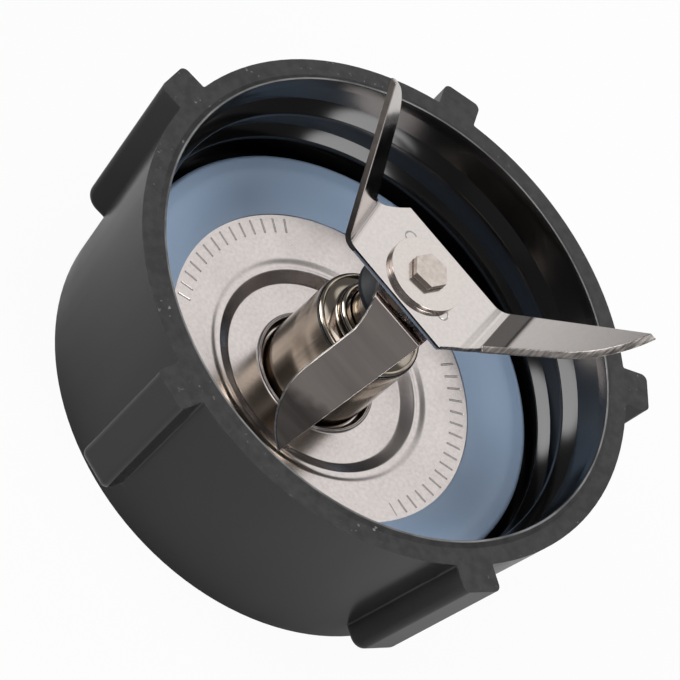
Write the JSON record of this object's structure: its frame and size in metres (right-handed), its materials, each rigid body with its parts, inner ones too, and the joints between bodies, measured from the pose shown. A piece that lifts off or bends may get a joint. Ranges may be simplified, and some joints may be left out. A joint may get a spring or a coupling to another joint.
{
  "type": "blender blade assembly",
  "caption": "Screw-on base for a blender jar: threaded black collar with grip lugs, sealing ring and pressed steel plate with a bearing tower that carries a winged rotor.",
  "frame": {"origin": "on the rotor's axis, in the plane of the collar's bottom edge", "axes": "+Z along the rotor's axis, from the motor side up into the jar; +X towards the lower wing that hangs clear of the plate on the pictured side; +Y towards the shallower upper wing"},
  "size_m": [0.0849, 0.084, 0.0627],
  "materials": {
    "collar_plastic": "satin moulded",
    "seal_rubber": "soft, slightly glossy",
    "pressed_steel": "fine satin",
    "turned_steel": "polished",
    "blade_steel": "polished",
    "bush_bronze": "sintered, matt",
    "felt": "oiled felt",
    "lip_rubber": "matt",
    "dark_nylon": "satin"
  },
  "bodies": {
    "base": {"jar_cap": "collar_plastic", "sealing_ring": "seal_rubber", "flange_plate": "pressed_steel", "bearing_tower": "turned_steel", "seal_cap": "turned_steel", "bush_retainer": "turned_steel", "lower_bush": "bush_bronze", "oil_felt": "felt", "upper_bush": "bush_bronze", "shaft_seal": "lip_rubber"},
    "rotor": {"drive_shaft": "turned_steel", "drive_coupling": "turned_steel", "slinger_washer": "lip_rubber", "fibre_washer": "dark_nylon", "thrust_washer": "turned_steel", "neck_collar": "turned_steel", "blade_spacer": "dark_nylon", "lower_blade": "blade_steel", "gap_washer": "turned_steel", "upper_blade": "blade_steel", "top_washer": "turned_steel"}
  },
  "joints": [
    {"name": "blade_spin", "type": "hinge", "parent": "base", "child": "rotor", "pos_m": [0, 0, 0], "axis": [0, 0, 1], "continuous": true}
  ]
}
